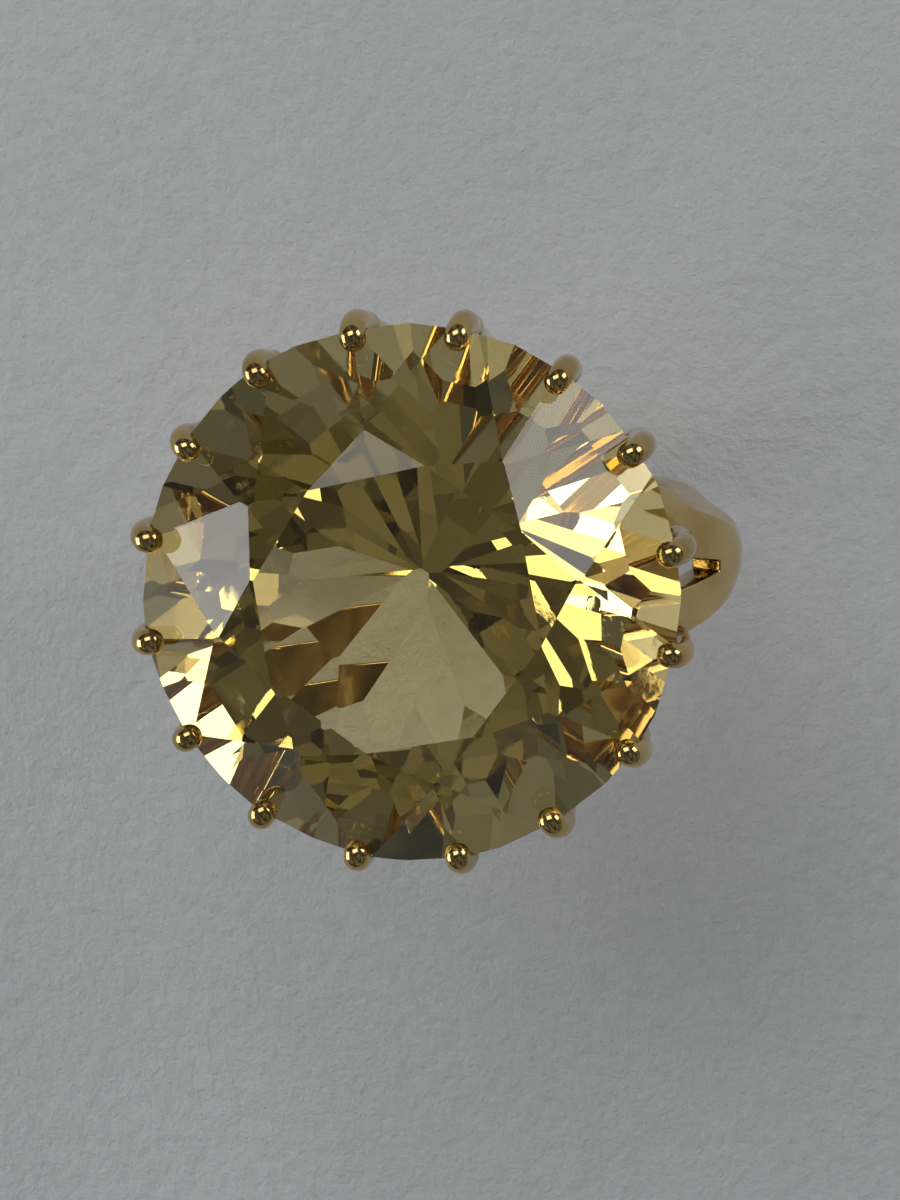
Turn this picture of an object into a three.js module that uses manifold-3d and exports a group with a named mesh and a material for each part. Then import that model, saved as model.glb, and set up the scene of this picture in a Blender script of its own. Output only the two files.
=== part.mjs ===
import * as THREE from 'three';
import { mergeVertices } from 'three/addons/utils/BufferGeometryUtils.js';
import Module from 'manifold-3d';

// A claw-set cocktail ring: a round brilliant stone in a coronet of sixteen wire claws, on a shank
// with forked shoulders. Millimetres, +Z up through the stone, finger axis along Y, and the origin
// at the centre of the finger hole.

// ---- driving dimensions ----
const FINGER_DIAMETER = 16.5;
const SHANK_THICKNESS = 1.3;
const SHANK_HALF_WIDTH = 1.05;
const SHANK_DOME = 0.2;

const STONE_DIAMETER = 20;
const TABLE_RATIO = 0.535; // table radius over stone radius
const STAR_RATIO = 0.66; // radius of the star tips over stone radius
const LOWER_HALF_RATIO = 0.16; // inner end of the lower halves over stone radius
const CROWN_HEIGHT = 3.5;
const GIRDLE_HEIGHT = 0.5;
const PAVILION_DEPTH = 9.4;
const CULET_CLEARANCE = 0.35; // culet above the top of the finger

const CLAW_COUNT = 16;
const CLAW_RADIUS = 0.5;
const CLAW_TIP_RADIUS = 0.47;
const CLAW_SLOPE = 0.22; // inward lean, radius over height
const CLAW_STANDOFF = 0.08; // claw centre line outside the stone's edge, where it bends
const CLAW_BEND_DROP = 0.3; // start of the bend below the girdle
const CLAW_OVERLAP = 0.28; // tip centre inside the stone's edge
const CLAW_TIP_RISE = 0.62; // tip centre above the crown
const CLAW_HANDLE_LOW = { out: 0.08, up: 0.75 }; // bend's handle from its start
const CLAW_HANDLE_HIGH = { out: 0.34, up: 0.12 }; // bend's handle from the tip
const FOOT_HEIGHT = 8.35;
const SEAT_GAP = 0.04; // between touching pieces
const SEAT_SCALE = 1.008; // the stone's notch in each claw over the stone

const RING_WIRE_RADIUS = 0.38;
const BEARER_DROP = 1.75; // bearer ring below the girdle
const BASE_HEIGHT = 8.85;

// Shoulders: the outer line leaves the hoop just below finger level, flares, and leans in to the claws.
const HOOP_END_ANGLE = THREE.MathUtils.degToRad(-10);
const HOOP_HANDLE = 3; // Bezier handle along the hoop's end
const FLARE_TOP = { x: 11.45, z: 7.7, handleDown: 2.7, handleUp: 2.3 };
const TINE_END = { x: 8.25, z: 13.8, handleX: 1.95, handleZ: -2.1 };
const FORK_HEIGHT = 10.4;
const FORK_HALF_GAP = 0.21;
const FORK_SPREAD = 0.2; // growth of the half gap over height
const SHOULDER_SPREAD = 0.305; // growth of the half width over height
const SHOULDER_CORNER = 0.6; // rounding of the start of that growth
const SHOULDER_DRAFT = 0.8; // how much wider the inner face is at the tines
const DRAFT_START_HEIGHT = 8.4;
const DRAFT_FULL_HEIGHT = 12.3;

// ---- derived places ----
const STONE_RADIUS = STONE_DIAMETER / 2;
const CULET_Z = FINGER_DIAMETER / 2 + CULET_CLEARANCE;
const GIRDLE_LOW_Z = CULET_Z + PAVILION_DEPTH;
const GIRDLE_TOP_Z = GIRDLE_LOW_Z + GIRDLE_HEIGHT;
const TABLE_Z = GIRDLE_TOP_Z + CROWN_HEIGHT;
const HOOP_RADIUS = FINGER_DIAMETER / 2 + SHANK_THICKNESS;
const CLAW_RING_RADIUS = STONE_RADIUS + CLAW_STANDOFF;
const CLAW_BEND_Z = GIRDLE_LOW_Z - CLAW_BEND_DROP;

const EIGHTH = Math.PI / 4;
const SIXTEENTH = Math.PI / 8;
const CLAW_START = SIXTEENTH / 2; // the shank's plane runs midway between two claws
const MAIN_START = CLAW_START + SIXTEENTH; // crown mains point at every second claw

const wasm = await Module();
wasm.setup();

// ---- mesh helpers ----
function closedGeometry(polygons) {
  const positions = [];
  for (const polygon of polygons) {
    for (let i = 1; i + 1 < polygon.length; i += 1) {
      for (const corner of [polygon[0], polygon[i], polygon[i + 1]]) {
        positions.push(corner.x, corner.y, corner.z);
      }
    }
  }
  const geometry = new THREE.BufferGeometry();
  geometry.setAttribute('position', new THREE.Float32BufferAttribute(positions, 3));
  const merged = mergeVertices(geometry, 1e-5);
  merged.computeVertexNormals();
  return merged;
}

function toSolid(geometry) {
  const bare = geometry.clone();
  bare.deleteAttribute('normal');
  bare.deleteAttribute('uv');
  const merged = mergeVertices(bare, 1e-5);
  const vertProperties = new Float32Array(merged.attributes.position.array);
  const triVerts = new Uint32Array(merged.index.array);
  return new wasm.Manifold(new wasm.Mesh({ numProp: 3, vertProperties, triVerts }));
}

function fromSolid(solid) {
  const mesh = solid.getMesh();
  const geometry = new THREE.BufferGeometry();
  geometry.setAttribute('position', new THREE.BufferAttribute(mesh.vertProperties, 3));
  geometry.setIndex(new THREE.BufferAttribute(mesh.triVerts, 1));
  geometry.computeVertexNormals();
  return geometry;
}

function polar(radius, angle, z) {
  return new THREE.Vector3(radius * Math.cos(angle), radius * Math.sin(angle), z);
}

function lerp(a, b, t) {
  return a + (b - a) * t;
}

// Zero below start and a straight rise above it, rounded over the width of the corner.
function ramp(value, start, corner) {
  const past = value - start;
  return (past + Math.hypot(past, corner)) / 2;
}

// ---- stone ----
const CROWN_SLOPE = CROWN_HEIGHT / (STONE_RADIUS * (1 - TABLE_RATIO));
const STAR_RADIUS = STONE_RADIUS * STAR_RATIO;
const STAR_Z =
  TABLE_Z - CROWN_SLOPE * (STAR_RADIUS * Math.cos(SIXTEENTH) - STONE_RADIUS * TABLE_RATIO);
const GIRDLE_STEPS = 4; // girdle points for each half facet

// Points where a half facet meets the round edge of the stone, from one girdle corner to the next.
function girdleArc(apex, startAngle, cornerZ) {
  const from = polar(STONE_RADIUS, startAngle, cornerZ);
  const to = polar(STONE_RADIUS, startAngle + SIXTEENTH, cornerZ);
  const facet = new THREE.Plane().setFromCoplanarPoints(apex, from, to);
  const points = [];
  for (let i = 0; i <= GIRDLE_STEPS; i += 1) {
    const point = polar(STONE_RADIUS, startAngle + (SIXTEENTH * i) / GIRDLE_STEPS, cornerZ);
    const inside = i > 0 && i < GIRDLE_STEPS;
    if (inside) {
      const { normal, constant } = facet;
      point.z = -(normal.x * point.x + normal.y * point.y + constant) / normal.z;
    }
    points.push(point);
  }
  return points;
}

function stoneGeometry() {
  const facets = [];
  const table = [];
  const culet = new THREE.Vector3(0, 0, CULET_Z);
  const lowerRadius = STONE_RADIUS * LOWER_HALF_RATIO;
  const lowerZ = CULET_Z + (PAVILION_DEPTH / STONE_RADIUS) * lowerRadius * Math.cos(SIXTEENTH);
  for (let k = 0; k < 8; k += 1) {
    const angle = MAIN_START + k * EIGHTH;
    const corner = polar(STONE_RADIUS * TABLE_RATIO, angle, TABLE_Z);
    const nextCorner = polar(STONE_RADIUS * TABLE_RATIO, angle + EIGHTH, TABLE_Z);
    const star = polar(STAR_RADIUS, angle + SIXTEENTH, STAR_Z);
    const previousStar = polar(STAR_RADIUS, angle - SIXTEENTH, STAR_Z);
    const lower = polar(lowerRadius, angle + SIXTEENTH, lowerZ);
    const previousLower = polar(lowerRadius, angle - SIXTEENTH, lowerZ);
    table.push(corner);
    facets.push([corner, star, nextCorner]);
    facets.push([corner, previousStar, polar(STONE_RADIUS, angle, GIRDLE_TOP_Z), star]);
    facets.push([culet, lower, polar(STONE_RADIUS, angle, GIRDLE_LOW_Z), previousLower]);
    for (const start of [angle, angle + SIXTEENTH]) {
      const top = girdleArc(star, start, GIRDLE_TOP_Z);
      const low = girdleArc(lower, start, GIRDLE_LOW_Z);
      facets.push([star, ...top]);
      facets.push([lower, ...low.slice().reverse()]);
      for (let i = 0; i < GIRDLE_STEPS; i += 1) {
        facets.push([low[i], low[i + 1], top[i + 1], top[i]]);
      }
    }
  }
  facets.push(table);
  return closedGeometry(facets);
}

// ---- claws ----
const CLAW_SIDES = 12;
const CLAW_TAPER_START = 0.86; // fraction of the claw's length
// Cross-sections along the claw, as fractions of its length: the foot, then the bend and the tip.
const CLAW_STATIONS = [
  0.004, 0.017, 0.045, 0.25, 0.5, 0.75,
  0.82, 0.855, 0.88, 0.9, 0.92, 0.938, 0.954, 0.97, 0.985, 0.996,
];

function crownZ(radius, onMain) {
  const edgeSlope = (STAR_Z - GIRDLE_TOP_Z) / (STONE_RADIUS - STAR_RADIUS);
  return GIRDLE_TOP_Z + (STONE_RADIUS - radius) * (onMain ? CROWN_SLOPE : edgeSlope);
}

function clawAxisRadius(z) {
  return CLAW_RING_RADIUS - CLAW_SLOPE * (CLAW_BEND_Z - z);
}

// The claw's centre line in its radial plane: up along the coronet, then over the girdle.
function clawLine(onMain) {
  const foot = new THREE.Vector2(clawAxisRadius(FOOT_HEIGHT), FOOT_HEIGHT);
  const bend = new THREE.Vector2(CLAW_RING_RADIUS, CLAW_BEND_Z);
  const tipRadius = STONE_RADIUS - CLAW_OVERLAP;
  const tip = new THREE.Vector2(tipRadius, crownZ(tipRadius, onMain) + CLAW_TIP_RISE);
  const over = new THREE.CubicBezierCurve(
    bend,
    bend.clone().add(new THREE.Vector2(CLAW_HANDLE_LOW.out, CLAW_HANDLE_LOW.up)),
    tip.clone().add(new THREE.Vector2(CLAW_HANDLE_HIGH.out, CLAW_HANDLE_HIGH.up)),
    tip,
  );
  const line = new THREE.CurvePath();
  line.add(new THREE.LineCurve(foot, bend));
  line.add(over);
  return line;
}

function clawRadiusAt(fraction, length) {
  const taper = THREE.MathUtils.smoothstep(fraction, CLAW_TAPER_START, 1);
  const wire = lerp(CLAW_RADIUS, CLAW_TIP_RADIUS, taper);
  const fromEnd = Math.min(fraction, 1 - fraction) * length;
  return fromEnd < wire ? Math.sqrt(wire * wire - (wire - fromEnd) ** 2) : wire;
}

// A round wire swept along a line in the plane at the given angle, with domed ends.
function clawWire(angle, onMain) {
  const line = clawLine(onMain);
  const length = line.getLength();
  const across = new THREE.Vector3(-Math.sin(angle), Math.cos(angle), 0);
  const place = (point) => polar(point.x, angle, point.y);
  const rings = CLAW_STATIONS.map((fraction) => {
    const centre = place(line.getPointAt(fraction));
    const tangent = line.getTangentAt(fraction);
    const out = polar(tangent.y, angle, -tangent.x);
    const radius = clawRadiusAt(fraction, length);
    return Array.from({ length: CLAW_SIDES }, (_, i) => {
      const turn = (i / CLAW_SIDES) * 2 * Math.PI;
      return centre
        .clone()
        .addScaledVector(out, radius * Math.cos(turn))
        .addScaledVector(across, radius * Math.sin(turn));
    });
  });
  const polygons = [];
  const start = place(line.getPointAt(0));
  const end = place(line.getPointAt(1));
  for (let i = 0; i < CLAW_SIDES; i += 1) {
    const next = (i + 1) % CLAW_SIDES;
    polygons.push([start, rings[0][next], rings[0][i]]);
    for (let r = 0; r + 1 < rings.length; r += 1) {
      polygons.push([rings[r][i], rings[r][next], rings[r + 1][next], rings[r + 1][i]]);
    }
    polygons.push([end, rings.at(-1)[i], rings.at(-1)[next]]);
  }
  return closedGeometry(polygons);
}

// The stone, slightly enlarged about the middle of its girdle.
function seatCutter() {
  const middle = (GIRDLE_LOW_Z + GIRDLE_TOP_Z) / 2;
  const seat = stoneGeometry();
  seat.translate(0, 0, -middle);
  seat.scale(SEAT_SCALE, SEAT_SCALE, SEAT_SCALE);
  seat.translate(0, 0, middle);
  return toSolid(seat);
}

// A claw is notched to take the stone's edge.
function clawGeometry(angle, onMain, seat) {
  return fromSolid(toSolid(clawWire(angle, onMain)).subtract(seat));
}

// ---- gallery rings ----
const RING_SIDES = 10;
const RING_STEPS = 48;

// A hoop of round wire that the claws stand around.
function galleryRing(z) {
  const clawInside = clawAxisRadius(z) - CLAW_RADIUS * Math.hypot(1, CLAW_SLOPE);
  const radius = clawInside - SEAT_GAP - RING_WIRE_RADIUS;
  const ring = new THREE.TorusGeometry(radius, RING_WIRE_RADIUS, RING_SIDES, RING_STEPS);
  ring.translate(0, 0, z);
  return ring;
}

// ---- shank ----
const SHANK_STEPS = 54; // cross-sections along half the shank
const TINE_COLUMNS = 3; // faces across each tine

function outerLine() {
  const hoopEnd = new THREE.Vector2(
    HOOP_RADIUS * Math.cos(HOOP_END_ANGLE),
    HOOP_RADIUS * Math.sin(HOOP_END_ANGLE),
  );
  const hoopTangent = new THREE.Vector2(-hoopEnd.y, hoopEnd.x).normalize();
  const flareTop = new THREE.Vector2(FLARE_TOP.x, FLARE_TOP.z);
  const tineEnd = new THREE.Vector2(TINE_END.x, TINE_END.z);
  const line = new THREE.CurvePath();
  line.add(new THREE.EllipseCurve(0, 0, HOOP_RADIUS, HOOP_RADIUS, -Math.PI / 2, HOOP_END_ANGLE));
  line.add(
    new THREE.CubicBezierCurve(
      hoopEnd,
      hoopEnd.clone().addScaledVector(hoopTangent, HOOP_HANDLE),
      flareTop.clone().add(new THREE.Vector2(0, -FLARE_TOP.handleDown)),
      flareTop,
    ),
  );
  line.add(
    new THREE.CubicBezierCurve(
      flareTop,
      flareTop.clone().add(new THREE.Vector2(0, FLARE_TOP.handleUp)),
      tineEnd.clone().add(new THREE.Vector2(TINE_END.handleX, TINE_END.handleZ)),
      tineEnd,
    ),
  );
  return line;
}

// Cross-sections of the right half of the shank, from the back of the hoop to the tine ends.
function halfStations() {
  const line = outerLine();
  const stations = [];
  const fork = { index: 0, offset: Infinity };
  for (let i = 0; i <= SHANK_STEPS; i += 1) {
    const point = line.getPointAt(i / SHANK_STEPS);
    if (Math.abs(point.y - FORK_HEIGHT) < fork.offset) {
      fork.offset = Math.abs(point.y - FORK_HEIGHT);
      fork.index = i;
    }
    const tangent = line.getTangentAt(i / SHANK_STEPS);
    const rise = ramp(point.y, FLARE_TOP.z, SHOULDER_CORNER);
    const outer = SHANK_HALF_WIDTH + SHOULDER_SPREAD * rise;
    const draft = THREE.MathUtils.smoothstep(point.y, DRAFT_START_HEIGHT, DRAFT_FULL_HEIGHT);
    stations.push({
      x: point.x,
      z: point.y,
      normalX: tangent.y,
      normalZ: -tangent.x,
      outer,
      inner: outer + SHOULDER_DRAFT * draft,
      gap: FORK_HALF_GAP + FORK_SPREAD * Math.max(0, point.y - FORK_HEIGHT),
    });
  }
  return { stations, forkIndex: fork.index };
}

// The columns of a section run across the ring: the -Y tine, the slot between the tines, the +Y tine.
function shankGeometry() {
  const { stations, forkIndex } = halfStations();
  const mirrored = stations
    .slice(1)
    .reverse()
    .map((s) => ({ ...s, x: -s.x, normalX: -s.normalX }));
  const all = [...mirrored, ...stations];
  const half = stations.length - 1;
  const split = TINE_COLUMNS;
  const outerFace = [];
  const innerFace = [];
  for (const s of all) {
    const outerRow = [];
    const innerRow = [];
    for (const side of [-1, 1]) {
      for (let i = 0; i <= split; i += 1) {
        const t = side < 0 ? 1 - i / split : i / split;
        const y = side * lerp(s.gap, s.outer, t);
        const drop = SHANK_DOME * (y / s.outer) ** 2;
        const innerY = side * lerp(s.gap, s.inner, t);
        outerRow.push(new THREE.Vector3(s.x - s.normalX * drop, y, s.z - s.normalZ * drop));
        innerRow.push(
          new THREE.Vector3(
            s.x - s.normalX * SHANK_THICKNESS,
            innerY,
            s.z - s.normalZ * SHANK_THICKNESS,
          ),
        );
      }
    }
    outerFace.push(outerRow);
    innerFace.push(innerRow);
  }
  const columns = outerFace[0].length;
  const polygons = [];
  const cap = (row, from, to, flip) => {
    for (let j = from; j < to; j += 1) {
      const face = [outerFace[row][j], outerFace[row][j + 1], innerFace[row][j + 1], innerFace[row][j]];
      polygons.push(flip ? face.reverse() : face);
    }
  };
  const wall = (row, column, flip) => {
    const face = [
      outerFace[row][column],
      outerFace[row + 1][column],
      innerFace[row + 1][column],
      innerFace[row][column],
    ];
    polygons.push(flip ? face.reverse() : face);
  };
  for (let row = 0; row + 1 < all.length; row += 1) {
    const forked = row < half - forkIndex || row >= half + forkIndex;
    for (let j = 0; j + 1 < columns; j += 1) {
      if (forked && j === split) {
        continue;
      }
      polygons.push([
        outerFace[row][j],
        outerFace[row][j + 1],
        outerFace[row + 1][j + 1],
        outerFace[row + 1][j],
      ]);
      polygons.push([
        innerFace[row][j],
        innerFace[row + 1][j],
        innerFace[row + 1][j + 1],
        innerFace[row][j + 1],
      ]);
    }
    wall(row, 0, false);
    wall(row, columns - 1, true);
    if (forked) {
      wall(row, split, true);
      wall(row, split + 1, false);
    }
  }
  for (const [from, to] of [[0, split], [split + 1, columns - 1]]) {
    cap(0, from, to, true);
    cap(all.length - 1, from, to, false);
  }
  cap(half - forkIndex, split, split + 1, true);
  cap(half + forkIndex, split, split + 1, false);
  return closedGeometry(polygons);
}

const NOTCH_HEIGHT = 12.9; // middle of the cut that clears a claw
const NOTCH_LENGTH = 8;
const NOTCH_SIDES = 16;

// Each tine is notched where the claw beside the fork passes through it.
function notchedShank() {
  let solid = toSolid(shankGeometry());
  for (let k = 0; k < CLAW_COUNT; k += 1) {
    const angle = CLAW_START + k * SIXTEENTH;
    const besideFork = Math.abs(Math.cos(angle)) > Math.cos(SIXTEENTH);
    if (!besideFork) {
      continue;
    }
    const cutter = new THREE.CylinderGeometry(
      CLAW_RADIUS + SEAT_GAP,
      CLAW_RADIUS + SEAT_GAP,
      NOTCH_LENGTH,
      NOTCH_SIDES,
    );
    cutter.rotateX(Math.PI / 2);
    cutter.rotateY(Math.atan(CLAW_SLOPE));
    cutter.translate(clawAxisRadius(NOTCH_HEIGHT), 0, NOTCH_HEIGHT);
    cutter.rotateZ(angle);
    solid = solid.subtract(toSolid(cutter));
  }
  return fromSolid(solid);
}

// ---- materials and assembly ----
const gold = new THREE.MeshStandardMaterial({ color: 0xd0a040, roughness: 0.18, metalness: 1 });
const citrine = new THREE.MeshStandardMaterial({
  color: 0xd8cc70,
  roughness: 0.02,
  metalness: 0,
  transparent: true,
  opacity: 0.6,
});

const ring = new THREE.Group();

function addPiece(name, geometry, material) {
  const piece = new THREE.Mesh(geometry, material);
  piece.name = name;
  ring.add(piece);
}

addPiece('gemstone', stoneGeometry(), citrine);
addPiece('bearer_ring', galleryRing(GIRDLE_LOW_Z - BEARER_DROP), gold);
addPiece('base_ring', galleryRing(BASE_HEIGHT), gold);
addPiece('forked_shank', notchedShank(), gold);
const seat = seatCutter();
for (let k = 0; k < CLAW_COUNT; k += 1) {
  const name = `claw_${String(k + 1).padStart(2, '0')}`;
  addPiece(name, clawGeometry(CLAW_START + k * SIXTEENTH, k % 2 === 1, seat), gold);
}

export default ring;
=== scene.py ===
"""Cocktail ring: a round brilliant held by sixteen gold claws on a fork-shouldered shank.

Metres, +Z up through the stone, finger axis along Y, origin at the centre of the finger hole."""
import math
import random

import bmesh
import bpy
from mathutils import Euler, Matrix, Vector


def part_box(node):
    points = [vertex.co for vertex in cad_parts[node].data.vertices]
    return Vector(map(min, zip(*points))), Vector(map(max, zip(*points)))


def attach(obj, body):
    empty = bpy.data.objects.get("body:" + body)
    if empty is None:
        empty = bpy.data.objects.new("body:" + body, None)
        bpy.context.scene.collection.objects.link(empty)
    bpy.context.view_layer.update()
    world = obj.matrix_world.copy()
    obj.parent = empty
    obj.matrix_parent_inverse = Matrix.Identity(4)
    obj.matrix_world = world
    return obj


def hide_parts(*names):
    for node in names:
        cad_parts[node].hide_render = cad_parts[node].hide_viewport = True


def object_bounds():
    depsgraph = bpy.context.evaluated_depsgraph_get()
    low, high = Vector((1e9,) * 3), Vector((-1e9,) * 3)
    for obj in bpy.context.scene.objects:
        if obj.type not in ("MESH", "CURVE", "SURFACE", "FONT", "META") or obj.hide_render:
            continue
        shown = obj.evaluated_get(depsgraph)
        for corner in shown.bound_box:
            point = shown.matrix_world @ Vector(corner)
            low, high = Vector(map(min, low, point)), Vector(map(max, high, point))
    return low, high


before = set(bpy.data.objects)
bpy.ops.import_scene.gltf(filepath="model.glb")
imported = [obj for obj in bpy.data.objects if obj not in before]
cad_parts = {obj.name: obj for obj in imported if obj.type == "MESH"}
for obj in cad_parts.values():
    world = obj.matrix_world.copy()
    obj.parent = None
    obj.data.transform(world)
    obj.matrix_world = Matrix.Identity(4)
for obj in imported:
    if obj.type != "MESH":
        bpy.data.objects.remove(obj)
cad_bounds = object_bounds()

MM = 0.001
CLAW_COUNT = 16
SIXTEENTH = 2 * math.pi / CLAW_COUNT
CLAW_START = SIXTEENTH / 2
MAIN_START = CLAW_START + SIXTEENTH

# The stone, from its CAD box and the cut's ratios.
stone_low, stone_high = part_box("gemstone")
STONE_RADIUS = (stone_high.x - stone_low.x) / 2
CULET_Z = stone_low.z
TABLE_Z = stone_high.z
PAVILION_DEPTH = 9.4 * MM
GIRDLE_HEIGHT = 0.5 * MM
GIRDLE_LOW_Z = CULET_Z + PAVILION_DEPTH
GIRDLE_TOP_Z = GIRDLE_LOW_Z + GIRDLE_HEIGHT
TABLE_RADIUS = 0.535 * STONE_RADIUS
STAR_RADIUS = 0.66 * STONE_RADIUS
LOWER_HALF_RADIUS = 0.16 * STONE_RADIUS
CROWN_SLOPE = (TABLE_Z - GIRDLE_TOP_Z) / (STONE_RADIUS - TABLE_RADIUS)
STAR_Z = TABLE_Z - CROWN_SLOPE * (STAR_RADIUS * math.cos(SIXTEENTH) - TABLE_RADIUS)

# How the stone departs from a perfect brilliant: facets a little off, a shifted culet, and two
# more rows of sixteen facets on the pavilion, one steeper than it and one shallower.
CUT_SEED = 59
FACET_TILT = math.radians(0.7)
CULET_OFFSET = Vector((-0.2, 0.0, 0.0)) * MM
OUTER_TIER_RADIUS = 0.7 * STONE_RADIUS
OUTER_TIER_TILT = math.radians(4.0)
INNER_TIER_RADIUS = 0.45 * STONE_RADIUS
INNER_TIER_TILT = math.radians(-2.0)
BLANK_SIDES = 256
MERGE_DISTANCE = 2e-7

# The claws and gallery rings.
CLAW_SEED = 100
CLAW_RADIUS = 0.5 * MM
CLAW_TIP_RADIUS = 0.47 * MM
CLAW_RING_RADIUS = STONE_RADIUS + 0.08 * MM
CLAW_SLOPE = 0.22
CLAW_OVERLAP = 0.28 * MM
CLAW_BEND_Z = GIRDLE_LOW_Z - 0.3 * MM
CLAW_TIP_RISE = 0.62 * MM
CLAW_BEND_HANDLE = Vector((0.08, 0.75)) * MM
CLAW_TIP_HANDLE = Vector((0.34, 0.12)) * MM
SOLDER_SWELL = 0.07 * MM
SOLDER_LENGTH = 0.45 * MM
SEAT_SCALE = 1.006
SEAT_EDGE_ANGLE = math.radians(40)
DOME_STEPS = 9
HOOP_WAVE = 0.02 * MM
BEARER_Z = GIRDLE_LOW_Z - 1.75 * MM
BASE_Z = 8.85 * MM
CLAW_FOOT_Z = 8.35 * MM

# The shank.
HOOP_RADIUS = -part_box("forked_shank")[0].z
SHANK_THICKNESS = 1.3 * MM
SHANK_HALF_WIDTH = 1.05 * MM
SHANK_DOME = 0.26 * MM
HOOP_END_ANGLE = math.radians(-10)
HOOP_HANDLE = 3 * MM
FLARE_TOP = Vector((11.45, 7.7)) * MM
FLARE_HANDLE_DOWN = Vector((0, 2.7)) * MM
FLARE_HANDLE_UP = Vector((0, 2.3)) * MM
TINE_END = Vector((8.25, 13.8)) * MM
TINE_HANDLE = Vector((1.95, -2.1)) * MM
FORK_HEIGHT = 10.4 * MM
FORK_HALF_GAP = 0.21 * MM
FORK_SPREAD = 0.2
SHOULDER_SPREAD = 0.305
SHOULDER_CORNER = 0.6 * MM
SHOULDER_DRAFT = 0.8 * MM
DRAFT_START_Z = 8.4 * MM
DRAFT_FULL_Z = 12.3 * MM
CURVE_STEPS = 300
SHANK_STEPS = 240
SHANK_COLUMNS = 10
EDGE_BEVEL = 0.09 * MM
EDGE_ANGLE = math.radians(35)

# The camera, the floor and the lights.
CAMERA_DIRECTION = Vector((0.14, 0.17, 0.975)).normalized()
CAMERA_DISTANCE = 150 * MM
CAMERA_LENS = 122.9
AIM_RIGHT = 1.422 * MM
AIM_DOWN = 0.235 * MM
FLOOR_HALF = 0.6
FLOOR_GAP = 0.02 * MM
LIGHT_DISTANCE = 0.5


# ---- small helpers ----
def polar(radius, angle, z):
    """A point at that radius and angle about the stone's axis."""
    return Vector((radius * math.cos(angle), radius * math.sin(angle), z))


def smoothstep(value, low, high):
    """0 below low, 1 above high and a smooth rise between."""
    t = min(1.0, max(0.0, (value - low) / (high - low)))
    return t * t * (3 - 2 * t)


def lerp(a, b, t):
    return a + (b - a) * t


def bezier(p0, p1, p2, p3, t):
    s = 1 - t
    return p0 * s**3 + p1 * 3 * s * s * t + p2 * 3 * s * t * t + p3 * t**3


def object_from(name, bm, smooth=True):
    mesh = bpy.data.meshes.new(name)
    bm.to_mesh(mesh)
    bm.free()
    if smooth:
        mesh.shade_smooth()
    obj = bpy.data.objects.new(name, mesh)
    bpy.context.scene.collection.objects.link(obj)
    return obj


def applied(obj):
    """obj with its modifiers made part of its mesh."""
    graph = bpy.context.evaluated_depsgraph_get()
    mesh = bpy.data.meshes.new_from_object(obj.evaluated_get(graph))
    obj.modifiers.clear()
    obj.data = mesh
    return obj


def piece(obj, slot, material, *nodes):
    """Gives obj its material, hangs it on the root body and hides those CAD nodes, which obj stands in
    for.
    """
    obj.data.materials.clear()
    obj.data.materials.append(material)
    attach(obj, "root")
    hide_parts(*nodes)
    return obj


# ---- materials ----
class Nodes:
    """A short way to write a node tree."""

    def __init__(self, tree):
        self.tree = tree
        tree.nodes.clear()

    def add(self, kind, inputs=None, **settings):
        node = self.tree.nodes.new(kind)
        for key, value in settings.items():
            setattr(node, key, value)
        for key, value in (inputs or {}).items():
            if isinstance(value, bpy.types.NodeSocket):
                self.tree.links.new(value, node.inputs[key])
            else:
                node.inputs[key].default_value = value
        return node

    def noise(self, vector, scale, detail=3.0, roughness=0.5):
        values = {"Vector": vector, "Scale": scale, "Detail": detail, "Roughness": roughness}
        return self.add("ShaderNodeTexNoise", values).outputs["Fac"]

    def remap(self, value, low, high, to_low, to_high):
        values = {0: value, 1: low, 2: high, 3: to_low, 4: to_high}
        node = self.add("ShaderNodeMapRange", values, clamp=True)
        return node.outputs[0]

    def mix(self, factor, a, b):
        node = self.add("ShaderNodeMix", data_type="RGBA")
        for key, value in ((0, factor), (6, a), (7, b)):
            if isinstance(value, bpy.types.NodeSocket):
                self.tree.links.new(value, node.inputs[key])
            else:
                node.inputs[key].default_value = value
        return node.outputs[2]

    def link(self, a, b):
        self.tree.links.new(a, b)


def gold_material(name, color, deep_color, rough_low, rough_high):
    """Polished yellow gold: soft colour drift, smudged gloss, fine wear and painted shade in its
    crevices.
    """
    material = bpy.data.materials.new(name)
    material.use_nodes = True
    n = Nodes(material.node_tree)
    place = n.add("ShaderNodeTexCoord").outputs["Object"]
    drift = n.noise(place, 420, 3)
    smudge = n.noise(place, 1500, 5, 0.6)
    grain = n.noise(place, 14000, 4, 0.65)
    wave = n.noise(place, 700, 2)
    # Painted shade: ambient occlusion darkens the colour towards dark brown where other metal is near,
    # standing in for the shade in crevices and under the stone.
    shadow = n.add("ShaderNodeAmbientOcclusion", {"Distance": 1.6 * MM}, samples=8)
    crevice_shade = n.remap(shadow.outputs["AO"], 0.3, 0.9, 0.8, 0.0)
    tone = n.mix(n.remap(drift, 0.35, 0.65, 0.0, 1.0), (*color, 1), (*deep_color, 1))
    shaded_tone = n.mix(crevice_shade, tone, (0.10, 0.06, 0.02, 1))
    gloss = n.remap(smudge, 0.3, 0.75, rough_low, rough_high)
    bump_low = n.add("ShaderNodeBump", {"Height": wave, "Strength": 0.35, "Distance": 0.02 * MM})
    bump = n.add(
        "ShaderNodeBump",
        {"Height": grain, "Strength": 0.12, "Distance": 0.004 * MM, "Normal": bump_low.outputs[0]},
    )
    shader = n.add(
        "ShaderNodeBsdfPrincipled",
        {"Base Color": shaded_tone, "Metallic": 1.0, "Roughness": gloss, "Normal": bump.outputs[0]},
    )
    output = n.add("ShaderNodeOutputMaterial")
    n.link(shader.outputs[0], output.inputs["Surface"])
    return material


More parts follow.
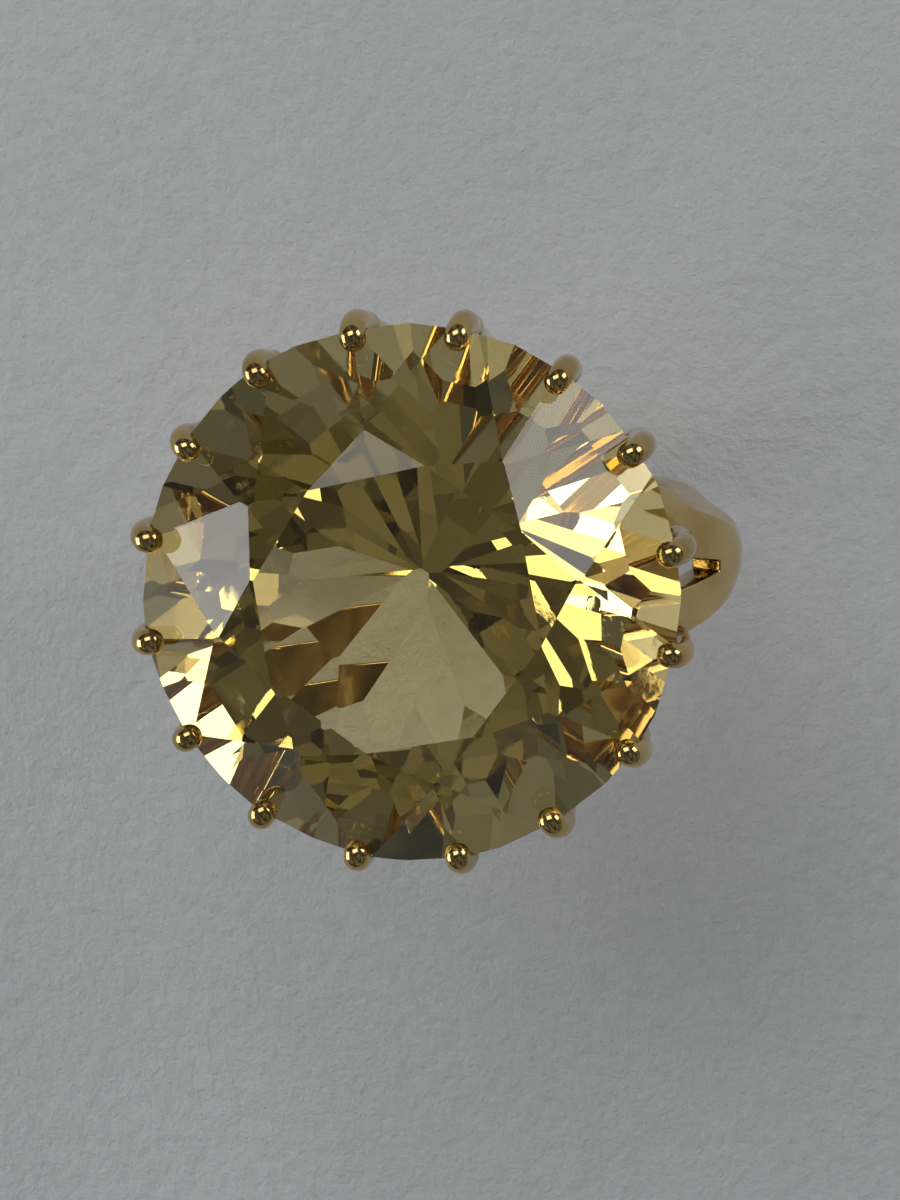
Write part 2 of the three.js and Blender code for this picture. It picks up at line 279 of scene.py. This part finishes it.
def citrine_material():
    """Clear pale lemon crystal, tinted by depth, with a little grime on the lower facets."""
    material = bpy.data.materials.new("citrine")
    material.use_nodes = True
    n = Nodes(material.node_tree)
    place = n.add("ShaderNodeTexCoord").outputs["Object"]
    patches = n.noise(place, 260, 4, 0.6)
    film = n.noise(place, 2600, 6, 0.7)
    height = n.add("ShaderNodeSeparateXYZ", {0: place}).outputs[2]
    below = n.remap(height, GIRDLE_LOW_Z, GIRDLE_LOW_Z - 0.3 * MM, 0.0, 1.0)
    spots = n.remap(patches, 0.56, 0.72, 0.0, 1.0)
    grime = n.add("ShaderNodeMath", {0: spots, 1: below}, operation="MULTIPLY").outputs[0]
    film_here = n.add("ShaderNodeMath", {0: film, 1: grime}, operation="MULTIPLY").outputs[0]
    rough = n.remap(film_here, 0.15, 0.7, 0.0, 0.22)
    bump = n.add("ShaderNodeBump", {"Height": film_here, "Strength": 0.25, "Distance": 0.01 * MM})
    shader = n.add(
        "ShaderNodeBsdfPrincipled",
        {
            "Base Color": (1.0, 0.95, 0.78, 1),
            "Roughness": rough,
            "IOR": 1.55,
            "Transmission Weight": 1.0,
            "Normal": bump.outputs[0],
        },
    )
    absorb = n.add("ShaderNodeVolumeAbsorption", {"Color": (0.82, 0.66, 0.02, 1), "Density": 66.0})
    output = n.add("ShaderNodeOutputMaterial")
    n.link(shader.outputs[0], output.inputs["Surface"])
    n.link(absorb.outputs[0], output.inputs["Volume"])
    return material


def paper_material():
    """Pale uncoated paper with a fine fibrous surface."""
    material = bpy.data.materials.new("paper")
    material.use_nodes = True
    n = Nodes(material.node_tree)
    place = n.add("ShaderNodeTexCoord").outputs["Object"]
    cloud = n.noise(place, 60, 3)
    fibre = n.noise(place, 1400, 7, 0.68)
    base = n.mix(n.remap(cloud, 0.3, 0.7, 0.0, 1.0), (0.75, 0.765, 0.775, 1), (0.81, 0.825, 0.835, 1))
    tone = n.mix(n.remap(fibre, 0.35, 0.65, 0.0, 0.16), base, (0.48, 0.49, 0.50, 1))
    bump = n.add("ShaderNodeBump", {"Height": fibre, "Strength": 0.8, "Distance": 0.35 * MM})
    shader = n.add(
        "ShaderNodeBsdfPrincipled",
        {"Base Color": tone, "Roughness": 0.75, "Normal": bump.outputs[0]},
    )
    output = n.add("ShaderNodeOutputMaterial")
    n.link(shader.outputs[0], output.inputs["Surface"])
    return material


# ---- camera ----
girdle_centre = Vector((0, 0, (GIRDLE_LOW_Z + GIRDLE_TOP_Z) / 2))
side = Vector((0, 1, 0)).cross(CAMERA_DIRECTION).normalized()
upward = CAMERA_DIRECTION.cross(side)
camera_data = bpy.data.cameras.new("camera")
camera_data.lens = CAMERA_LENS
camera_data.sensor_width = 36
camera_data.clip_start = 0.01
camera_data.clip_end = 5
camera = bpy.data.objects.new("camera", camera_data)
bpy.context.scene.collection.objects.link(camera)
camera.location = girdle_centre + CAMERA_DIRECTION * CAMERA_DISTANCE
aim = girdle_centre + side * AIM_RIGHT - upward * AIM_DOWN
look = (aim - camera.location).normalized()
right = look.cross(upward).normalized()
true_up = right.cross(look)
basis = Matrix((right, true_up, -look)).transposed()
camera.rotation_euler = basis.to_euler()
bpy.context.scene.camera = camera


# ---- stone ----
def sheared(point):
    """A point of the pavilion, shifted with the culet, which is cut a little off centre."""
    return point + CULET_OFFSET * (GIRDLE_LOW_Z - point.z) / PAVILION_DEPTH


def facet_planes():
    """Point and outward normal of every facet but the table, which is the blank's flat top."""
    lower_z = CULET_Z + PAVILION_DEPTH / STONE_RADIUS * LOWER_HALF_RADIUS * math.cos(SIXTEENTH)
    middle = Vector((0, 0, GIRDLE_TOP_Z))
    planes = []

    def add(a, b, c):
        normal = (b - a).cross(c - a).normalized()
        centre = (a + b + c) / 3
        if normal.dot(centre - middle) < 0:
            normal.negate()
        planes.append((centre, normal))

    culet = sheared(Vector((0, 0, CULET_Z)))
    for k in range(8):
        angle = MAIN_START + k * 2 * SIXTEENTH
        corner = polar(TABLE_RADIUS, angle, TABLE_Z)
        next_corner = polar(TABLE_RADIUS, angle + 2 * SIXTEENTH, TABLE_Z)
        star = polar(STAR_RADIUS, angle + SIXTEENTH, STAR_Z)
        last_star = polar(STAR_RADIUS, angle - SIXTEENTH, STAR_Z)
        lower = sheared(polar(LOWER_HALF_RADIUS, angle + SIXTEENTH, lower_z))
        last_lower = sheared(polar(LOWER_HALF_RADIUS, angle - SIXTEENTH, lower_z))
        add(corner, star, last_star)
        add(corner, next_corner, star)
        add(culet, lower, last_lower)
        for start in (angle, angle + SIXTEENTH):
            for inner_corner, edge_z in ((star, GIRDLE_TOP_Z), (lower, GIRDLE_LOW_Z)):
                edge = polar(STONE_RADIUS, start, edge_z)
                next_edge = polar(STONE_RADIUS, start + SIXTEENTH, edge_z)
                add(inner_corner, edge, next_edge)
    tiers = ((OUTER_TIER_RADIUS, OUTER_TIER_TILT), (INNER_TIER_RADIUS, INNER_TIER_TILT))
    for radius, tilt in tiers:
        slope = math.atan(PAVILION_DEPTH / STONE_RADIUS) + tilt
        z = CULET_Z + PAVILION_DEPTH / STONE_RADIUS * radius
        for k in range(16):
            angle = MAIN_START + k * SIXTEENTH
            normal = polar(math.sin(slope), angle, -math.cos(slope))
            planes.append((sheared(polar(radius * math.cos(SIXTEENTH / 2), angle, z)), normal))
    return planes


def build_stone():
    """Cuts the facets off a round blank one plane at a time, as a cutter does."""
    draw = random.Random(CUT_SEED)
    bm = bmesh.new()
    blank_depth = TABLE_Z - CULET_Z
    bmesh.ops.create_cone(
        bm,
        cap_ends=True,
        segments=BLANK_SIDES,
        radius1=STONE_RADIUS,
        radius2=STONE_RADIUS,
        depth=blank_depth,
    )
    bmesh.ops.translate(bm, verts=bm.verts, vec=(0, 0, (TABLE_Z + CULET_Z) / 2))
    for point, normal in facet_planes():
        wobble = Euler((draw.gauss(0, FACET_TILT), draw.gauss(0, FACET_TILT), 0))
        tilted = normal.copy()
        tilted.rotate(wobble)
        geometry = bm.verts[:] + bm.edges[:] + bm.faces[:]
        cut = bmesh.ops.bisect_plane(
            bm, geom=geometry, dist=1e-8, plane_co=point, plane_no=tilted, clear_outer=True
        )
        loop = [e for e in cut["geom_cut"] if isinstance(e, bmesh.types.BMEdge) and e.is_boundary]
        if loop:
            bmesh.ops.contextual_create(bm, geom=loop)
    bmesh.ops.remove_doubles(bm, verts=bm.verts, dist=MERGE_DISTANCE)
    bmesh.ops.recalc_face_normals(bm, faces=bm.faces)
    for face in bm.faces:
        face.smooth = abs(face.normal.z) < 0.2
    for edge in bm.edges:
        edge.smooth = all(face.smooth for face in edge.link_faces)
    return object_from("citrine_stone", bm, smooth=False)


def build_seat_cutter(stone):
    """A slightly swollen copy of the stone, which cuts the seats into the claws."""
    mesh = stone.data.copy()
    swell = Matrix.Scale(SEAT_SCALE, 4)
    mesh.transform(Matrix.Translation(girdle_centre) @ swell @ Matrix.Translation(-girdle_centre))
    cutter = bpy.data.objects.new("seat_cutter", mesh)
    bpy.context.scene.collection.objects.link(cutter)
    return cutter


# ---- wires ----
def wire(name, centres, radii, flatten, across, sides=28):
    """A wire along centres, which lie in one plane whose normal is across.

    flatten squeezes the wire in that plane, one factor for each centre."""
    bm = bmesh.new()
    rings = []
    for i, (centre, radius, squash) in enumerate(zip(centres, radii, flatten)):
        ahead = centres[min(i + 1, len(centres) - 1)]
        behind = centres[max(i - 1, 0)]
        tangent = (ahead - behind).normalized()
        out = across.cross(tangent).normalized()
        ring = []
        for j in range(sides):
            turn = 2 * math.pi * j / sides
            offset = out * math.cos(turn) * squash + across * math.sin(turn)
            ring.append(bm.verts.new(centre + offset * radius))
        rings.append(ring)
    for ring, following in zip(rings, rings[1:]):
        for j in range(sides):
            k = (j + 1) % sides
            bm.faces.new((ring[j], ring[k], following[k], following[j]))
    for ring in (rings[0], rings[-1]):
        bm.faces.new(ring)
    bmesh.ops.recalc_face_normals(bm, faces=bm.faces)
    return object_from(name, bm)


def crown_z(radius, on_main):
    """Height of the crown near the girdle, on a main facet or between two of them."""
    edge_slope = (STAR_Z - GIRDLE_TOP_Z) / (STONE_RADIUS - STAR_RADIUS)
    return GIRDLE_TOP_Z + (STONE_RADIUS - radius) * (CROWN_SLOPE if on_main else edge_slope)


def claw_axis_radius(z):
    """How far the straight part of a claw's axis is from the stone's axis at that height."""
    return CLAW_RING_RADIUS - CLAW_SLOPE * (CLAW_BEND_Z - z)


def build_claw(index, material, cutter):
    """One claw: a wire that leans out, swells at its two solder joints and folds over the stone."""
    draw = random.Random(CLAW_SEED + index)
    angle = CLAW_START + index * SIXTEENTH + draw.uniform(-0.008, 0.008)
    overlap = CLAW_OVERLAP + draw.uniform(-0.05, 0.08) * MM
    stout = draw.uniform(0.97, 1.04)
    tip_radius = STONE_RADIUS - overlap
    tip_z = crown_z(tip_radius, index % 2 == 1) + CLAW_TIP_RISE
    foot = Vector((claw_axis_radius(CLAW_FOOT_Z), CLAW_FOOT_Z))
    bend = Vector((CLAW_RING_RADIUS, CLAW_BEND_Z))
    over = (
        bend,
        bend + CLAW_BEND_HANDLE,
        Vector((tip_radius, tip_z)) + CLAW_TIP_HANDLE,
        Vector((tip_radius, tip_z)),
    )
    line = [foot.lerp(bend, i / 40) for i in range(40)]
    line += [bezier(*over, i / 36) for i in range(37)]
    lengths = [0.0]
    for a, b in zip(line, line[1:]):
        lengths.append(lengths[-1] + (b - a).length)
    total = lengths[-1]
    centres = []
    radii = []
    flatten = []
    foot_radius = CLAW_RADIUS * stout
    for dome in range(DOME_STEPS):
        turn = math.pi / 2 * (DOME_STEPS - 1 - dome) / (DOME_STEPS - 0.8)
        back = foot_radius * math.sin(turn)
        centres.append(foot - (bend - foot).normalized() * (back - foot_radius * 0.9))
        radii.append(foot_radius * math.cos(turn))
        flatten.append(1.0)
    for point, length in zip(line[8:], lengths[8:]):
        fraction = length / total
        radius = lerp(CLAW_RADIUS, CLAW_TIP_RADIUS, smoothstep(fraction, 0.84, 1.0)) * stout
        for joint_z in (BASE_Z, BEARER_Z):
            radius += SOLDER_SWELL * math.exp(-(((point.y - joint_z) / SOLDER_LENGTH) ** 2))
        centres.append(point)
        radii.append(radius)
        flatten.append(lerp(1.0, 0.92, smoothstep(fraction, 0.9, 1.0)))
    end_direction = (line[-1] - line[-2]).normalized()
    end_radius = radii[-1]
    for dome in range(1, DOME_STEPS + 1):
        turn = math.pi / 2 * dome / (DOME_STEPS + 0.3)
        centres.append(line[-1] + end_direction * end_radius * math.sin(turn))
        radii.append(end_radius * math.cos(turn))
        flatten.append(flatten[-1])
    across = Vector((-math.sin(angle), math.cos(angle), 0))
    placed = [polar(point.x, angle, point.y) for point in centres]
    name = f"claw_wire_{index + 1:02d}"
    claw = wire(name, placed, radii, flatten, across)
    seat = claw.modifiers.new("seat", "BOOLEAN")
    seat.operation = "DIFFERENCE"
    seat.solver = "MANIFOLD"
    seat.object = cutter
    applied(claw)
    claw.data.set_sharp_from_angle(angle=SEAT_EDGE_ANGLE)
    return piece(claw, "claw_gold", material, f"claw_{index + 1:02d}")


def build_gallery_ring(name, node, material):
    """A hoop of round wire, hand closed, so very slightly out of true."""
    low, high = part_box(node)
    wire_radius = (high.z - low.z) / 2 * 1.03
    hoop_radius = (high.x - low.x) / 2 - wire_radius
    middle = (low.z + high.z) / 2
    bm = bmesh.new()
    around = 288
    sides = 24
    rings = []
    for i in range(around):
        angle = 2 * math.pi * i / around
        wave = HOOP_WAVE * math.sin(3 * angle + 0.6)
        ring = []
        for j in range(sides):
            turn = 2 * math.pi * j / sides
            radius = hoop_radius + wave + wire_radius * math.cos(turn)
            ring.append(bm.verts.new(polar(radius, angle, middle + wire_radius * math.sin(turn))))
        rings.append(ring)
    for i in range(around):
        following = rings[(i + 1) % around]
        for j in range(sides):
            k = (j + 1) % sides
            bm.faces.new((rings[i][j], following[j], following[k], rings[i][k]))
    bmesh.ops.recalc_face_normals(bm, faces=bm.faces)
    return piece(object_from(name, bm), "gallery_gold", material, node)


# ---- shank ----
def outer_line(steps):
    """Evenly spaced points of the shank's outer line, from the back of the hoop to a tine's end."""
    hoop_end = Vector((math.cos(HOOP_END_ANGLE), math.sin(HOOP_END_ANGLE))) * HOOP_RADIUS
    tangent = Vector((-hoop_end.y, hoop_end.x)).normalized()
    dense = []
    for i in range(CURVE_STEPS):
        angle = lerp(-math.pi / 2, HOOP_END_ANGLE, i / CURVE_STEPS)
        dense.append(Vector((math.cos(angle), math.sin(angle))) * HOOP_RADIUS)
    flare = (hoop_end, hoop_end + tangent * HOOP_HANDLE, FLARE_TOP - FLARE_HANDLE_DOWN, FLARE_TOP)
    lean = (FLARE_TOP, FLARE_TOP + FLARE_HANDLE_UP, TINE_END + TINE_HANDLE, TINE_END)
    dense += [bezier(*flare, i / CURVE_STEPS) for i in range(CURVE_STEPS)]
    dense += [bezier(*lean, i / CURVE_STEPS) for i in range(CURVE_STEPS + 1)]
    lengths = [0.0]
    for a, b in zip(dense, dense[1:]):
        lengths.append(lengths[-1] + (b - a).length)
    points = []
    index = 0
    for i in range(steps + 1):
        target = lengths[-1] * i / steps
        while index + 2 < len(dense) and lengths[index + 1] < target:
            index += 1
        span = lengths[index + 1] - lengths[index]
        points.append(dense[index].lerp(dense[index + 1], (target - lengths[index]) / span))
    return points


def ramp(value, start, corner):
    """Nothing below start, rising one for one above it, with a soft corner between."""
    past = value - start
    return (past + math.hypot(past, corner)) / 2


def shank_rows(steps, split):
    """Outer and inner rows of points across the ring, for the right half of the shank."""
    points = outer_line(steps)
    rows = []
    for i, point in enumerate(points):
        ahead = points[min(i + 1, steps)]
        behind = points[max(i - 1, 0)]
        tangent = (ahead - behind).normalized()
        if i == 0:
            tangent = Vector((1, 0))
        normal = Vector((tangent.y, -tangent.x))
        outer = SHANK_HALF_WIDTH + SHOULDER_SPREAD * ramp(point.y, FLARE_TOP.y, SHOULDER_CORNER)
        inner = outer + SHOULDER_DRAFT * smoothstep(point.y, DRAFT_START_Z, DRAFT_FULL_Z)
        gap = FORK_HALF_GAP + FORK_SPREAD * max(0.0, point.y - FORK_HEIGHT)
        outer_row = []
        inner_row = []
        for sign in (-1, 1):
            for j in range(split + 1):
                t = 1 - j / split if sign < 0 else j / split
                y = sign * lerp(gap, outer, t)
                drop = SHANK_DOME * (y / outer) ** 2
                outer_row.append((point - normal * drop, y))
                inner_row.append((point - normal * SHANK_THICKNESS, sign * lerp(gap, inner, t)))
        rows.append((point.y, outer_row, inner_row))
    return rows


def build_shank(material):
    """The hoop with its two forked shoulders, as one closed skin with softened edges."""
    split = SHANK_COLUMNS
    half = shank_rows(SHANK_STEPS, split)
    upper_rows = range(SHANK_STEPS // 2 + 1, len(half))
    fork_row = min(upper_rows, key=lambda i: abs(half[i][0] - FORK_HEIGHT))
    bm = bmesh.new()

    def row_verts(entries, sign):
        return [bm.verts.new((sign * p.x, y, p.y)) for p, y in entries]

    left = [(row_verts(o, -1), row_verts(i, -1)) for _, o, i in half[:0:-1]]
    right_side = [(row_verts(o, 1), row_verts(i, 1)) for _, o, i in half]
    rows = left + right_side
    back = len(half) - 1
    columns = 2 * split + 2
    for r in range(len(rows) - 1):
        (outer, inner), (next_outer, next_inner) = rows[r], rows[r + 1]
        forked = r < back - fork_row or r >= back + fork_row
        for j in range(columns - 1):
            if forked and j == split:
                continue
            bm.faces.new((outer[j], outer[j + 1], next_outer[j + 1], next_outer[j]))
            bm.faces.new((inner[j], next_inner[j], next_inner[j + 1], inner[j + 1]))
        walls = [0, columns - 1] + ([split, split + 1] if forked else [])
        for j in walls:
            bm.faces.new((outer[j], next_outer[j], next_inner[j], inner[j]))
    for r in (0, len(rows) - 1):
        outer, inner = rows[r]
        for first in (0, split + 1):
            for j in range(first, first + split):
                bm.faces.new((outer[j], outer[j + 1], inner[j + 1], inner[j]))
    for r in (back - fork_row, back + fork_row):
        outer, inner = rows[r]
        bm.faces.new((outer[split], outer[split + 1], inner[split + 1], inner[split]))
    bmesh.ops.recalc_face_normals(bm, faces=bm.faces)
    shank = object_from("shank_with_forks", bm)
    bevel = shank.modifiers.new("soft_edges", "BEVEL")
    bevel.width = EDGE_BEVEL
    bevel.segments = 3
    bevel.limit_method = "ANGLE"
    bevel.angle_limit = EDGE_ANGLE
    applied(shank)
    shank.data.shade_smooth()
    return piece(shank, "shank_gold", material, "forked_shank")


# ---- assembly ----
# One gold in three copies of different lightness: the claws' and the gallery's are darkened as painted
# shade, and the shank's is kept lighter as painted light.
claw_gold = gold_material("claw_gold", (0.63, 0.45, 0.18), (0.50, 0.34, 0.12), 0.06, 0.17)
shank_gold = gold_material("shank_gold", (0.72, 0.53, 0.24), (0.58, 0.41, 0.16), 0.06, 0.17)
gallery_gold = gold_material("gallery_gold", (0.56, 0.39, 0.15), (0.44, 0.29, 0.10), 0.18, 0.34)

citrine_stone = piece(build_stone(), "citrine", citrine_material(), "gemstone")
seat_cutter = build_seat_cutter(citrine_stone)
for claw_index in range(CLAW_COUNT):
    build_claw(claw_index, claw_gold, seat_cutter)
bpy.data.objects.remove(seat_cutter)
build_gallery_ring("bearer_hoop", "bearer_ring", gallery_gold)
build_gallery_ring("base_hoop", "base_ring", gallery_gold)
build_shank(shank_gold)

# ---- floor ----
floor_mesh = bpy.data.meshes.new("paper_floor")
floor_z = cad_bounds[0][2] - FLOOR_GAP
signs = ((-1, -1), (1, -1), (1, 1), (-1, 1))
corners = [(x * FLOOR_HALF, y * FLOOR_HALF, floor_z) for x, y in signs]
floor_mesh.from_pydata(corners, [], [(0, 1, 2, 3)])
floor = bpy.data.objects.new("paper_floor", floor_mesh)
floor_mesh.materials.append(paper_material())
bpy.context.scene.collection.objects.link(floor)


# ---- light ----
def softbox(name, azimuth, elevation, width, height, radiance):
    """An area light of even radiance that faces the ring; its azimuth and elevation are in degrees."""
    flat = math.cos(math.radians(elevation))
    direction = polar(flat, math.radians(azimuth), math.sin(math.radians(elevation)))
    data = bpy.data.lights.new(name, "AREA")
    data.shape = "RECTANGLE"
    data.size = width
    data.size_y = height
    data.energy = radiance * math.pi * width * height
    lamp = bpy.data.objects.new(name, data)
    bpy.context.scene.collection.objects.link(lamp)
    lamp.location = girdle_centre + direction * LIGHT_DISTANCE
    lamp.rotation_euler = (lamp.location - girdle_centre).to_track_quat("Z", "Y").to_euler()


softbox("window", 190, 12, 0.34, 0.25, 3.9)
softbox("skylight", 112, 54, 0.36, 0.24, 2.2)
softbox("doorway", 36, 22, 0.24, 0.24, 3.4)

# The room is dim, with soft patches of lighter and darker wall for the facets to pick up.
world = bpy.data.worlds.new("room")
world.use_nodes = True
bpy.context.scene.world = world
room = Nodes(world.node_tree)
room_direction = room.add("ShaderNodeTexCoord").outputs["Generated"]
walls = room.remap(room.noise(room_direction, 2.6, 2.0), 0.36, 0.64, 0.015, 0.21)
backdrop = room.add("ShaderNodeBackground", {"Color": (0.93, 0.97, 1.0, 1), "Strength": walls})
room.link(backdrop.outputs[0], room.add("ShaderNodeOutputWorld").inputs["Surface"])

scene = bpy.context.scene
scene.view_settings.view_transform = "Standard"
scene.cycles.max_bounces = 24
scene.cycles.transmission_bounces = 24
scene.cycles.glossy_bounces = 16
